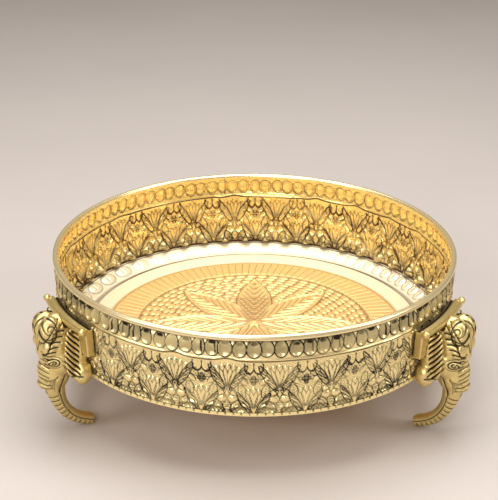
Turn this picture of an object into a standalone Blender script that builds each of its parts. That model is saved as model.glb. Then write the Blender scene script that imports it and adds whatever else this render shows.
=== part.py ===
"""Brass urli bowl: an embossed sheet-brass bowl carried on three cast elephant-head legs.

Frame: metres, +Z up. The origin is the middle of the bowl's floor, on its upper face and on the bowl's
axis. The front of the bowl faces -Y, with one leg at the back (+Y) and two at the front.
"""

import math

import bmesh
import bpy
from mathutils import Matrix, Vector

# ---- driving dimensions, in metres -----------------------------------------------------------------------
RIM_R = 0.1400  # outside radius over the rolled rim
RIM_H = 0.0624  # top of the rim above the bowl's floor
FOOT_DROP = 0.0436  # undersides of the feet below the bowl's floor
SHEET = 0.0008  # thickness of the wall's and the pan's sheet
GAP = 0.0003  # room left between pieces that touch
WIRE_R = 0.0010  # core wire of the rolled rim

NECK_H = 0.0048  # neck below the rim top
COIN_H = 0.0098  # middle of the coin band below the rim top
COIN_BULGE = 0.0024  # how far the coin band stands out from the neck
RIDGE_H = 0.0172  # ridge under the coin band, below the rim top
RIDGE_OUT = 0.0016  # how far the ridge stands out from the neck
WALL_FOOT_Z = 0.0057  # lower edge of the wall band above the floor
WALL_DRAFT = 0.0022  # how far the wall leans in from the ridge to its lower edge

MEDALLION_R = 0.1060  # flat engraved middle of the floor
RING_R = 0.1178  # outer edge of the raised ring around the medallion
RING_RISE = 0.0005  # the ring's height over the medallion
GROOVE_R = 0.1193  # bottom of the groove between the ring and the ledge
GROOVE_DROP = 0.0019  # the groove's depth below the medallion
LIP_H = 0.0014  # height of the pan's turned-up lip outside the wall

LEG_ANGLES = {"rear": 90.0, "left": 210.0, "right": 330.0}  # degrees from +X
SADDLE_ARC = 23.0  # degrees of wall that a saddle covers
SADDLE_TOP = 0.0189  # shelf of the saddle below the rim top
SADDLE_H = 0.0210  # height of the saddle
SADDLE_BACK = 0.0055  # thickness of the saddle's back
SHELF_T = 0.0028  # thickness of the saddle's shelf
SHELF_OUT = 0.0098  # reach of the shelf from the wall
KNOB_R = 0.0026  # knobs on the two ends of the shelf

SKULL_OUT = 0.0245  # outermost point of the forehead beyond the rim
HEAD_TOP = 0.0168  # top of the forehead below the rim top
HEAD_W = 0.0320  # width of the head across the cheeks
HEAD_H = 0.0430  # height of the skull
MUZZLE_DROP = 0.0580  # middle of the trunk's root below the rim top
EAR_SPREAD = 0.0168  # an ear's middle from the middle of the head
EAR_H = 0.0390  # height of an ear
TRUNK_ROOT_R = 0.0086  # radius of the trunk where it leaves the head
TRUNK_TIP_R = 0.0045  # radius of the trunk at the foot
FOOT_IN = 0.0115  # how far inside the rim the trunk ends

SEGMENTS = 60  # facets around the bowl, a multiple of three so that each leg meets the same facets
CURL_STEPS = 7  # facets around the rolled rim
FOOT_FLAT_DEPTH = 0.0014  # how much of the trunk's tip is filed off to make its flat

# ---- sizes worked out from the driving ones --------------------------------------------------------------
CURL_R = WIRE_R + GAP + SHEET
CURL_MID = (RIM_R - CURL_R, RIM_H - CURL_R)
NECK_R = CURL_MID[0] - CURL_R + SHEET
GROUND_Z = -FOOT_DROP
FACET_SAG = RIM_R * (1 - math.cos(math.pi / SEGMENTS))


def clear_scene():
    for obj in list(bpy.data.objects):
        bpy.data.objects.remove(obj, do_unlink=True)


def new_collection(name):
    collection = bpy.data.collections.new(name)
    bpy.context.scene.collection.children.link(collection)
    return collection


def brass(name, color, roughness):
    material = bpy.data.materials.new(name)
    material.use_nodes = True
    shader = material.node_tree.nodes["Principled BSDF"]
    shader.inputs["Base Color"].default_value = (*color, 1.0)
    shader.inputs["Metallic"].default_value = 1.0
    shader.inputs["Roughness"].default_value = roughness
    return material


def mesh_object(name, bm, collection):
    mesh = bpy.data.meshes.new(name)
    bm.to_mesh(mesh)
    bm.free()
    obj = bpy.data.objects.new(name, mesh)
    collection.objects.link(obj)
    return obj


def as_cutter(obj):
    obj.hide_render = True
    obj.display_type = "WIRE"
    return obj


def boolean(target, other, operation):
    modifier = target.modifiers.new(f"{operation}_{other.name}".lower(), "BOOLEAN")
    modifier.operation = operation
    modifier.object = other
    modifier.solver = "EXACT"


def apply_modifiers(obj):
    """Give the object the mesh that its modifiers make, and drop the modifiers."""
    depsgraph = bpy.context.evaluated_depsgraph_get()
    mesh = bpy.data.meshes.new_from_object(obj.evaluated_get(depsgraph))
    obj.modifiers.clear()
    obj.data = mesh
    return obj


# ---- turned pieces ---------------------------------------------------------------------------------------
def wall_outer(z):
    """Outer radius of the wall band at a height, from the neck down to its lower edge."""
    depth = RIM_H - z
    ridge_r = NECK_R + RIDGE_OUT
    if depth < COIN_H:
        share = max(0.0, (depth - NECK_H) / (COIN_H - NECK_H))
        return NECK_R + COIN_BULGE * math.sin(share * math.pi / 2)
    if depth < RIDGE_H:
        share = (depth - COIN_H) / (RIDGE_H - COIN_H)
        return NECK_R + COIN_BULGE + (RIDGE_OUT - COIN_BULGE) * share
    share = (depth - RIDGE_H) / (RIM_H - WALL_FOOT_Z - RIDGE_H)
    return ridge_r - WALL_DRAFT * share


def offset(points, distance):
    """A copy of an open outline, moved to the left of its direction, with mitred corners."""
    moved = []
    for i, point in enumerate(points):
        here = Vector(point)
        before = Vector(points[max(i - 1, 0)])
        after = Vector(points[min(i + 1, len(points) - 1)])
        sides = [d.normalized() for d in (here - before, after - here) if d.length > 0]
        normals = [Vector((-d.y, d.x)) for d in sides]
        middle = sum(normals, Vector((0, 0))).normalized()
        moved.append(here + middle * distance / max(middle.dot(normals[0]), 0.5))
    return [tuple(p) for p in moved]


def curl(radius):
    """Points around the rolled rim, from its open end under the wire over the top to the neck."""
    start, end = math.radians(-112), math.radians(180)
    angles = [start + (end - start) * i / CURL_STEPS for i in range(CURL_STEPS + 1)]
    return [(CURL_MID[0] + radius * math.cos(a), CURL_MID[1] + radius * math.sin(a)) for a in angles]


def turned(name, outline, collection, closed=True):
    """A solid turned about Z from an outline of radius and height, running down its outer side."""
    bm = bmesh.new()
    verts = [bm.verts.new((r, 0, z)) for r, z in outline]
    for a, b in zip(verts, verts[1:]):
        bm.edges.new((a, b))
    if closed:
        bm.edges.new((verts[-1], verts[0]))
    obj = mesh_object(name, bm, collection)
    screw = obj.modifiers.new("turn", "SCREW")
    screw.angle = math.tau
    screw.steps = SEGMENTS
    screw.render_steps = SEGMENTS
    screw.use_merge_vertices = True
    screw.merge_threshold = 0.00001
    screw.use_smooth_shade = True
    return obj


def wall_heights():
    lower = [RIM_H - RIDGE_H - (RIM_H - RIDGE_H - WALL_FOOT_Z) * i / 3 for i in range(1, 4)]
    upper = [RIM_H - depth for depth in (NECK_H, (NECK_H + COIN_H) / 2, COIN_H, (COIN_H + RIDGE_H) / 2, RIDGE_H)]
    return upper + lower


def wall_band(collection):
    """Embossed wall of the bowl, rolled over the core wire at the top."""
    outer = [(wall_outer(z), z) for z in wall_heights()]
    inner = [(r - SHEET, z) for r, z in reversed(outer)]
    # The sheet comes up the inside of the curl, goes over the wire and ends below it on the outside.
    over = list(reversed(curl(CURL_R)))
    under = curl(CURL_R - SHEET)
    return turned("wall_band", over + under + outer + inner, collection)


def pan_top():
    """Upper side of the base pan from the axis to the top of its lip."""
    seat_z = WALL_FOOT_Z - GAP
    lip_r = wall_outer(WALL_FOOT_Z) + GAP
    lip_top = seat_z + LIP_H
    seat_r = wall_outer(WALL_FOOT_Z) - SHEET - GAP
    ring_in = MEDALLION_R + 2 * RING_RISE
    return [
        (0.0, 0.0),
        (MEDALLION_R, 0.0),
        (ring_in, RING_RISE),
        (RING_R, RING_RISE),
        (GROOVE_R, -GROOVE_DROP),
        (GROOVE_R + (seat_r - GROOVE_R) * 0.5, -GROOVE_DROP + (seat_z + GROOVE_DROP) * 0.42),
        (seat_r, seat_z),
        (lip_r, seat_z),
        (wall_outer(lip_top) + GAP, lip_top),
    ]


def base_pan(collection):
    """Pressed floor of the bowl, with its medallion, ring, groove, ledge and turned-up lip."""
    top = pan_top()
    under = offset(top, -SHEET)
    under[0] = (0.0, -SHEET)
    return turned("base_pan", top + list(reversed(under)), collection, closed=False)


def rim_wire(collection):
    bpy.ops.mesh.primitive_torus_add(
        major_radius=CURL_MID[0], minor_radius=WIRE_R, major_segments=SEGMENTS, minor_segments=8,
        location=(0, 0, CURL_MID[1]))
    wire = bpy.context.object
    wire.name = "rim_wire"
    wire.data.shade_smooth()
    for owner in list(wire.users_collection):
        owner.objects.unlink(wire)
    collection.objects.link(wire)
    return wire


# ---- saddles ---------------------------------------------------------------------------------------------
def saddle_outline(grow):
    """Upright section of a saddle: a back along the wall with a shelf on top, grown by a clearance."""
    top = RIM_H - SADDLE_TOP
    foot = top - SADDLE_H
    seat_top = wall_outer(top) + FACET_SAG + GAP
    seat_foot = wall_outer(foot) + FACET_SAG + GAP
    return [
        (seat_top - grow, top + grow),
        (seat_top + SHELF_OUT + grow, top + grow),
        (seat_top + SHELF_OUT + grow, top - SHELF_T - grow),
        (seat_top + SADDLE_BACK + grow, top - SHELF_T - 0.4 * SADDLE_BACK - grow),
        (seat_foot + SADDLE_BACK + grow, foot - grow),
        (seat_foot - grow, foot - grow),
    ]


def swept(name, outline, arc, steps, collection):
    """A solid swept about Z from a filled upright section, centred on +X."""
    bm = bmesh.new()
    face = bm.faces.new([bm.verts.new((r, 0, z)) for r, z in outline])
    bmesh.ops.rotate(bm, verts=bm.verts[:], cent=(0, 0, 0), matrix=Matrix.Rotation(-arc / 2, 3, "Z"))
    geometry = [face, *face.edges, *face.verts]
    bmesh.ops.spin(bm, geom=geometry, cent=(0, 0, 0), axis=(0, 0, 1), angle=arc, steps=steps)
    bmesh.ops.recalc_face_normals(bm, faces=bm.faces[:])
    return mesh_object(name, bm, collection)


def ball(name, center, radii, collection, segments=16, rings=10):
    bm = bmesh.new()
    bmesh.ops.create_uvsphere(bm, u_segments=segments, v_segments=rings, radius=1.0)
    bmesh.ops.scale(bm, vec=radii, verts=bm.verts[:])
    bmesh.ops.translate(bm, vec=center, verts=bm.verts[:])
    return mesh_object(name, bm, collection)


def saddle_shape(cutters):
    """The saddle along +X: the swept section with a knob on each end of its shelf."""
    arc = math.radians(SADDLE_ARC)
    saddle = swept("saddle_shape", saddle_outline(0.0), arc, 4, cutters)
    outline = saddle_outline(0.0)
    knob_r = outline[1][0] - 0.6 * KNOB_R
    knob_z = outline[1][1] - 0.45 * SHELF_T
    for side in (-1, 1):
        angle = side * arc / 2
        center = (knob_r * math.cos(angle), knob_r * math.sin(angle), knob_z)
        knob = as_cutter(ball(f"knob_{side + 1}", center, (KNOB_R,) * 3, cutters, 12, 8))
        boolean(saddle, knob, "UNION")
    return as_cutter(apply_modifiers(saddle))


# ---- elephant-head legs ----------------------------------------------------------------------------------
def trunk_path():
    """Points and radii down the middle of the trunk, from inside the head to the foot."""
    root_r = RIM_R + 0.0140
    root_z = RIM_H - MUZZLE_DROP - 0.0080
    tip_r = RIM_R - FOOT_IN
    tip_z = GROUND_Z + TRUNK_TIP_R - FOOT_FLAT_DEPTH
    fall = root_z - tip_z
    reach = root_r - tip_r
    shares = ((-0.05, -0.30, 1.0), (0.0, 0.0, 1.0), (0.02, 0.19, 0.80), (0.09, 0.38, 0.65),
              (0.21, 0.57, 0.59), (0.38, 0.74, 0.56), (0.62, 0.90, 0.55), (0.88, 0.985, 0.55), (1.0, 1.0, 0.55))
    points = []
    for inward, down, thick in shares:
        radius = TRUNK_TIP_R + (TRUNK_ROOT_R - TRUNK_TIP_R) * (thick - 0.55) / 0.45
        points.append((Vector((root_r - reach * inward, 0, root_z - fall * down)), radius))
    return points


def trunk(cutters):
    curve = bpy.data.curves.new("trunk", "CURVE")
    curve.dimensions = "3D"
    curve.bevel_depth = 1.0
    curve.bevel_resolution = 2
    curve.use_fill_caps = True
    curve.resolution_u = 2
    path = trunk_path()
    spline = curve.splines.new("BEZIER")
    spline.bezier_points.add(len(path) - 1)
    for knot, (place, radius) in zip(spline.bezier_points, path):
        knot.co = place
        knot.radius = radius
        knot.handle_left_type = "AUTO"
        knot.handle_right_type = "AUTO"
    tube = bpy.data.objects.new("trunk_curve", curve)
    cutters.objects.link(tube)
    depsgraph = bpy.context.evaluated_depsgraph_get()
    mesh = bpy.data.meshes.new_from_object(tube.evaluated_get(depsgraph))
    bm = bmesh.new()
    bm.from_mesh(mesh)
    bmesh.ops.remove_doubles(bm, verts=bm.verts[:], dist=0.00001)
    bmesh.ops.recalc_face_normals(bm, faces=bm.faces[:])
    bpy.data.objects.remove(tube, do_unlink=True)
    return as_cutter(mesh_object("trunk_tube", bm, cutters))


def head_lumps(cutters):
    """The rounded forms that make up the head: skull, muzzle, neck, ears and the pads behind them."""
    skull_r = HEAD_H / 3
    skull_mid = (RIM_R + SKULL_OUT - skull_r, 0, RIM_H - HEAD_TOP - HEAD_H / 2)
    cheek_mid = (RIM_R + 0.0095, 0, skull_mid[2] - 0.0100)
    lumps = [
        ball("skull", skull_mid, (skull_r, HEAD_W * 0.44, HEAD_H / 2), cutters, 20, 12),
        ball("cheeks", cheek_mid, (0.0125, HEAD_W / 2, 0.0170), cutters, 20, 12),
        ball("muzzle", (RIM_R + 0.0132, 0, RIM_H - MUZZLE_DROP), (0.0112, 0.0115, 0.0170), cutters),
        ball("neck", (RIM_R + 0.0030, 0, skull_mid[2] - 0.0020), (0.0110, EAR_SPREAD, 0.0185), cutters),
    ]
    for side in (-1, 1):
        ear_mid = (RIM_R + 0.0055, side * EAR_SPREAD, skull_mid[2] - 0.0025)
        pad_mid = (RIM_R - 0.0005, side * (EAR_SPREAD + 0.0020), ear_mid[2] - EAR_H * 0.40)
        lumps.append(ball(f"ear_{side + 1}", ear_mid, (0.0082, 0.0040, EAR_H / 2), cutters, 14, 10))
        lumps.append(ball(f"pad_{side + 1}", pad_mid, (0.0065, 0.0070, 0.0080), cutters, 12, 8))
    return lumps


def bowl_room(cutters):
    """The bowl's outside with its clearance, which the castings keep out of."""
    grow = FACET_SAG + GAP
    heights = wall_heights()[2:]
    outer = [(wall_outer(z) + grow, z) for z in heights]
    low_z = WALL_FOOT_Z - GAP - SHEET - GAP
    lip_top = WALL_FOOT_Z + LIP_H
    lip = wall_outer(lip_top) + GAP + SHEET + grow
    outline = [(0.0, RIM_H), (outer[0][0], RIM_H), *outer[:-1]]
    outline += [(outer[-1][0], lip_top), (lip, lip_top), (lip, low_z), (GROOVE_R, -GROOVE_DROP - SHEET - GAP)]
    outline += [(0.0, -GROOVE_DROP - SHEET - GAP)]
    return as_cutter(turned("bowl_room", outline, cutters, closed=False))


def leg_shape(cutters):
    """One cast leg along +X, cut clear of the bowl, of its saddle and of the ground."""
    parts = head_lumps(cutters)
    leg = trunk(cutters)
    leg.name = "leg_shape"
    for lump in parts:
        boolean(leg, as_cutter(lump), "UNION")
    boolean(leg, bowl_room(cutters), "DIFFERENCE")
    spare = 2 * GAP / RIM_R
    saddle_room = swept("saddle_room", saddle_outline(GAP), math.radians(SADDLE_ARC) + spare, 4, cutters)
    boolean(leg, as_cutter(saddle_room), "DIFFERENCE")
    bpy.ops.mesh.primitive_cube_add(size=1.0)
    ground = as_cutter(bpy.context.object)
    ground.name = "ground"
    ground.scale = (0.4, 0.4, 0.1)
    ground.location = (0, 0, GROUND_Z - 0.05)
    boolean(leg, ground, "DIFFERENCE")
    return as_cutter(apply_modifiers(leg))


def placed(name, shape, angle, collection):
    """A copy of a finished shape, turned about the bowl's axis."""
    obj = bpy.data.objects.new(name, shape.data)
    obj.rotation_euler = (0, 0, math.radians(angle))
    collection.objects.link(obj)
    return obj


def paint(obj, material):
    obj.data.materials.clear()
    obj.data.materials.append(material)


def main():
    clear_scene()
    parts = new_collection("brass_urli_bowl")
    cutters = new_collection("cutters")
    sheet_brass = brass("polished_sheet_brass", (0.83, 0.68, 0.38), 0.26)
    cast_brass = brass("antiqued_cast_brass", (0.76, 0.63, 0.38), 0.36)
    wire_brass = brass("drawn_brass_wire", (0.80, 0.66, 0.36), 0.30)
    paint(wall_band(parts), sheet_brass)
    paint(base_pan(parts), sheet_brass)
    paint(rim_wire(parts), wire_brass)
    saddle = saddle_shape(cutters)
    paint(saddle, cast_brass)
    leg = leg_shape(cutters)
    paint(leg, cast_brass)
    for place, angle in LEG_ANGLES.items():
        placed(f"elephant_leg_{place}", leg, angle, parts)
        placed(f"leg_saddle_{place}", saddle, angle, parts)


main()
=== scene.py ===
"""Looks of an embossed brass urli bowl on three elephant-head legs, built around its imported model.

The wall and the floor are grids bent into closed rings and a disc, then worked in relief by formulas
that follow the chaser's pattern: a row of coins, two rows of lotuses and, on the floor, a star of
leaves.
Reliefs are worked out in millimetres, and every mesh is in metres in the frame of the model.
"""

import math

import bmesh
import bpy
import numpy as np
from bpy.props import FloatProperty, FloatVectorProperty, IntProperty, PointerProperty
from bpy.types import Operator, Panel, PropertyGroup
from mathutils import Matrix, Vector


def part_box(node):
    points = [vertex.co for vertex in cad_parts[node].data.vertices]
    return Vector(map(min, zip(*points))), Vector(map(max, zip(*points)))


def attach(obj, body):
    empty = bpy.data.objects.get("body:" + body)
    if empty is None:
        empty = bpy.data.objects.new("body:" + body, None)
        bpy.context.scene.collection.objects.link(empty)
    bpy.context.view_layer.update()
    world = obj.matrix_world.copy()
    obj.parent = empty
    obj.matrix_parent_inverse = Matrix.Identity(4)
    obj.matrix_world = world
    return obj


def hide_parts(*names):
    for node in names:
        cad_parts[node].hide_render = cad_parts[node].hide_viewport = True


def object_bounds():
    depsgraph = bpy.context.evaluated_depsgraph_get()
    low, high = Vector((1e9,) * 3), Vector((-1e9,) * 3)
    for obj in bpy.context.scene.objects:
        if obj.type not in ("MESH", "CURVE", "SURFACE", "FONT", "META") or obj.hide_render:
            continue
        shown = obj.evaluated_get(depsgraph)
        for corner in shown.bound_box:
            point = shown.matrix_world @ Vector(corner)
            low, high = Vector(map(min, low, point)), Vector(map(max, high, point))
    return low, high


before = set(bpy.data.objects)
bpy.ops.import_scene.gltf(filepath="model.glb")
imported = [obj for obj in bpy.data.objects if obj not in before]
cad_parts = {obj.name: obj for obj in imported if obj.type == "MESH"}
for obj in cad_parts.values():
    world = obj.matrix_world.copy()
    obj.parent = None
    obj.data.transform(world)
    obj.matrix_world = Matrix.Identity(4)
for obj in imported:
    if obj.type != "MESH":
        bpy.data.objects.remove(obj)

bl_info = {
    "name": "Embossed Urli Bowl",
    "version": (1, 0, 0),
    "blender": (4, 5, 0),
    "location": "View3D > Sidebar > Urli",
    "description": "Builds the looks of an embossed brass urli bowl around its frame",
    "category": "Object",
}

MM = 0.001
BODY = "root"

# ---- the frame -----------------------------------------------------------------------------------
CAD_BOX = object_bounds()
WALL_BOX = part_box("wall_band")
PAN_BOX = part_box("base_pan")
RIM_R = WALL_BOX[1].x / MM
RIM_TOP = WALL_BOX[1].z / MM
WALL_FOOT = RIM_TOP - WALL_BOX[0].z / MM  # depth of the wall's lower edge below the rim's top
PAN_LIP_R = PAN_BOX[1].x / MM
GROUND = CAD_BOX[0].z / MM

# ---- the plain shapes, in millimetres, depths counted down from the rim's top --------------------
SHEET = 0.8
GAP = 0.3
CURL_R = 2.1  # of the bead where the sheet is rolled over its wire
NECK_DEPTH = 4.8
COIN_DEPTH = 9.8
COIN_BULGE = 2.4
RIDGE_DEPTH = 17.2
RIDGE_OUT = 1.6
WALL_DRAFT = 2.2
NECK_R = RIM_R - 2 * CURL_R + SHEET
PRESSED_IN = 1.6  # how far the worked wall gives way behind a saddle
SEAM_ANGLE = math.radians(100.0)
PAN_LIP_TOP = RIM_TOP - WALL_FOOT - GAP + 1.4

COINS_TOP = 2.6
COINS_FOOT = 17.0
LOTUSES_MEET = 36.8
LOTUSES_MIDDLE = 38.0
COIN_MIDDLE = 10.0
COIN_ARC_R = RIM_R - 1.0  # radius that the coins' widths are measured at
COIN_BAR = ((0.35 * 4.4, -3.6), (0.42 * 4.4, 3.2))  # ends of the dark bar in some coins
LOTUS_ARC_R = RIM_R - 3
LOTUSES_FROM = (18.8, 20.0)  # between these the hatched ground begins
LOTUSES_TO = (55.0, 54.0)
GROUND_PITCH = 1.7
BEAD_DEPTH = 56.2  # of the fine bead along the wall's foot
WALL_DOTS = 109
WALL_DOTS_DEPTH = 55.9

MEDALLION_R = 106.0
STAR_TIP_R = 74.0
STAR_HALF = 12.6
BED_R = 84.0  # outer edge of the pebbles
FLUTES_FROM = 84.6
FLUTES_TO = 104.6
RING_R = 117.8
RING_RISE = 0.5
GROOVE_R = 119.3
GROOVE_DROP = 1.9
LEDGE_BUMPS = 92
BUMP_R = 129.5  # radius of the row of bumps
BUMP_ARC_R = 130.0  # radius that the bumps' widths are measured at
BUMP_HALF = (4.2, 4.3)
LIP_DOTS = 170

LEG_ANGLES = {"rear": 90.0, "left": 210.0, "right": 330.0}
SADDLE_ARC = 23.0
SADDLE_TOP = 18.9
SADDLE_H = 21.0
SADDLE_BACK = 5.5
SHELF_T = 2.8
SHELF_OUT = 9.8
SHELF_FILLET = 0.4 * SADDLE_BACK
KNOB_R = 2.6
CLEAR_STEP = 1.0  # how far past an edge of the bowl a leg still keeps clear of it
TRUNK_RINGS = 46
TRUNK_CUTS_FROM = 12  # the first ring of the trunk that the wrinkles follow
UNDER_PAN = 2.2  # below the wall's foot by this much, a leg follows the pan's underside

# ---- the finish ----------------------------------------------------------------------------------
TARNISH = (0.42, 0.27, 0.10)
INNER_WAX_AND_SHADE = (0.10, 0.042, 0.008)  # wax in the inner side's lines, and painted shade in its hollows
INNER_FINE = 0.75  # how sharp the chased lines stay on the inner side
OFF_LINE = 9  # added to a distance to end a line there


# ---- settings ------------------------------------------------------------------------------------
class UrliPattern(PropertyGroup):
    """How many of each motif go round the bowl, how deep they are worked and how fine the meshes are."""

    lotuses: IntProperty(
        name="Lotuses", description="Lotuses in each row round the wall", default=26, min=3)
    coins: IntProperty(name="Coins", description="Coins in the row under the rim", default=100, min=3)
    leaves: IntProperty(name="Leaves", description="Leaves in the star on the floor", default=8, min=3)
    flutes: IntProperty(name="Flutes", description="Flutes round the star", default=112, min=3)
    depth: FloatProperty(
        name="Depth", description="Depth of the work, 1 for the usual one", default=1.0, min=0.0)
    columns: IntProperty(
        name="Columns", description="Divisions of the wall round the bowl", default=1440, min=60)
    disc: IntProperty(name="Disc", description="Divisions across the floor", default=300, min=20)
    voxel: FloatProperty(
        name="Voxel", description="Size of the cells that the castings are made of",
        default=0.00045, unit="LENGTH")


class UrliFinish(PropertyGroup):
    """Colours of the metal, two of them with painted light in them, and of the wax and painted shade in
    its grooves and hollows.
    """

    chased: FloatVectorProperty(
        name="Chased wall", description="Brass of the outer wall", subtype="COLOR",
        default=(0.96, 0.78, 0.39))
    # Warmer than the outer brass partly as painted light bounced about inside the bowl.
    gilt_and_bounce_light: FloatVectorProperty(
        name="Inner wall", description="Warmer brass inside the wall", subtype="COLOR",
        default=(1.0, 0.76, 0.28))
    floor: FloatVectorProperty(
        name="Floor", description="Brass of the worked floor", subtype="COLOR",
        default=(0.98, 0.65, 0.28))
    polished: FloatVectorProperty(
        name="Rim", description="Polished plain brass of the rolled rim", subtype="COLOR",
        default=(1.0, 0.82, 0.47))
    # Paler than the other brass, to paint the bright reflection on the ledge.
    ledge: FloatVectorProperty(
        name="Ledge", description="Pale scoured brass round the medallion", subtype="COLOR",
        default=(1.0, 0.90, 0.66))
    cast: FloatVectorProperty(
        name="Castings", description="Brass of the legs", subtype="COLOR",
        default=(0.78, 0.61, 0.26))
    # This colour fills the chased lines as dark wax, and also paints shade under the bead, over the
    # coins, in sunk work and beside the saddles.
    wax_and_shade: FloatVectorProperty(
        name="Dirt", description="Dark wax left in the grooves", subtype="COLOR",
        default=(0.022, 0.015, 0.008))


class UrliStage(PropertyGroup):
    """Floor, lights and camera."""

    floor: FloatVectorProperty(
        name="Floor", description="Colour of the floor", subtype="COLOR", default=(0.55, 0.49, 0.45))
    lens: FloatProperty(name="Lens", description="Focal length in mm", default=101.3)
    distance: FloatProperty(
        name="Distance", description="Camera to the middle of the rim", default=0.98, unit="LENGTH")
    pitch: FloatProperty(
        name="Pitch", description="How far the camera looks down", default=math.radians(23.6),
        unit="ROTATION")


# ---- curves and strokes --------------------------------------------------------------------------
def ease(low, high, x):
    """A smooth step from 0 at low to 1 at high."""
    share = np.clip((x - low) / (high - low), 0.0, 1.0)
    return share * share * (3 - 2 * share)


def stroke(distance, width):
    """1 on a line and nothing far from it."""
    return np.exp(-((distance / width) ** 2))


def wander(angle, seed, waves, slowest):
    """A smooth uneven value between about -1 and 1 that closes on itself round the bowl."""
    dice = np.random.default_rng(seed)
    total = np.zeros_like(angle)
    for turns in range(slowest, slowest + waves):
        total += dice.uniform(-1, 1) * np.sin(turns * angle + dice.uniform(0, math.tau))
    return total / math.sqrt(waves)


def bent(start, through, end, count):
    """Points along a parabola from start to end, pulled towards a point between them."""
    shares = np.linspace(0, 1, count)[:, None]
    a, b, c = (np.array(p, float) for p in (start, through, end))
    return (1 - shares) ** 2 * a + 2 * shares * (1 - shares) * b + shares**2 * c


def off_line(x, y, points):
    """Distance of each place from a line through some points."""
    best = np.full_like(x, 1e9)
    for (ax, ay), (bx, by) in zip(points[:-1], points[1:]):
        length = (bx - ax) ** 2 + (by - ay) ** 2
        share = np.clip(((x - ax) * (bx - ax) + (y - ay) * (by - ay)) / length, 0.0, 1.0)
        best = np.minimum(best, np.hypot(x - ax - share * (bx - ax), y - ay - share * (by - ay)))
    return best


class Relief:
    """Raised and sunk work on a flattened surface, in millimetres, and the darkening laid in it: wax in
    its lines and painted shade.
    """

    def __init__(self, x, y, inner=0.0):
        self.x = x
        self.y = y
        self.inner = inner
        self.fine = 1.0 - (1.0 - INNER_FINE) * inner
        self.height = np.zeros_like(x)
        self.wax_and_shade = np.zeros_like(x)

    def put(self, mask, height=0.0, wax_and_shade=0.0):
        """Raises, or sinks where height is less than 0, and darkens a masked area; callers use the
        darkening both for wax and for painted shade.
        """
        self.height += height * mask
        self.wax_and_shade = np.maximum(self.wax_and_shade, wax_and_shade * mask)

    def line(self, distance, width=0.58, depth=0.25, wax_and_shade=0.9):
        """A sunk dark line where distance is 0, wider on the inner side."""
        self.put(stroke(distance, width * (1 + 0.45 * self.inner)), -depth, wax_and_shade)

    def ball(self, middle, radii, height):
        """A round bump, or a hollow where height is less than 0."""
        ring = np.hypot((self.x - middle[0]) / radii[0], (self.y - middle[1]) / radii[1])
        self.put(np.sqrt(np.clip(1 - ring * ring, 0, 1)), height)
        self.line((ring - 1.1) * min(radii), 0.4, 0.15, 0.6)

    def leaf(
        self, base, tip, width, height, swell=1.0, ribs=0.0, slant=0.6, wax_and_shade=0.0, edge=0.5, rim=0.0,
    ):
        """A leaf from base to tip. It is widest past its middle where swell is more than 1.

        With ribs, a sunk leaf has straight slanted lines, and a raised one a midrib and veins.
        """
        dx, dy = tip[0] - base[0], tip[1] - base[1]
        length = math.hypot(dx, dy)
        along = ((self.x - base[0]) * dx + (self.y - base[1]) * dy) / length**2
        lean = ((self.x - base[0]) * -dy + (self.y - base[1]) * dx) / length
        across = np.abs(lean)
        share = np.clip(along, 0.001, 0.999)
        half = 0.5 * width * np.sin(np.pi * share**swell) ** 0.7 + 0.02
        within = ease(-0.02, 0.04, along) * ease(1.02, 0.96, along)
        body = ease(1.1, 0.5, across / half) * within
        if height > 0:
            self.height = np.maximum(self.height, body * height)
        else:
            self.put(body, height)
        self.line(np.abs(across - half - 0.1) + OFF_LINE * (1 - within), 0.42, 0.2, edge)
        if rim:
            self.put(stroke(across - half - 0.7, 0.5) * within, rim)
        if ribs and height < 0:
            wave = np.cos(math.tau * (along * ribs - slant * lean / half))
            self.put(ease(-0.1, 0.7, wave) * body * self.fine, -0.2, wax_and_shade)
        elif ribs:
            wave = np.cos(math.tau * (along * ribs - slant * across / half))
            veins = ease(0.0, 0.8, wave) * body * self.fine
            self.put(veins, -0.18, wax_and_shade)
            self.put(stroke(across, 0.35) * body * self.fine, -0.14, wax_and_shade)
        elif wax_and_shade:
            self.put(body * self.fine, 0.0, wax_and_shade)

    def hatch(self, mask, pitch, turn, wax_and_shade):
        """Lines at an angle over a masked area."""
        slope = self.x * math.cos(turn) + self.y * math.sin(turn)
        self.put(ease(0.0, 0.9, np.cos(math.tau * slope / pitch)) * mask * self.fine, -0.12, wax_and_shade)


# ---- the wall's pattern --------------------------------------------------------------------------
def wall_radius(depth):
    """Outer radius of the plain wall at a depth below the rim's top."""
    coin_rise = np.clip((depth - NECK_DEPTH) / (COIN_DEPTH - NECK_DEPTH), 0, 1)
    upper = NECK_R + COIN_BULGE * np.sin(coin_rise * math.pi / 2)
    fall = ease(COIN_DEPTH, RIDGE_DEPTH, depth)
    lean = np.clip((depth - RIDGE_DEPTH) / (WALL_FOOT - RIDGE_DEPTH), 0, 1)
    return upper + (RIDGE_OUT - COIN_BULGE) * fall - WALL_DRAFT * lean


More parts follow.
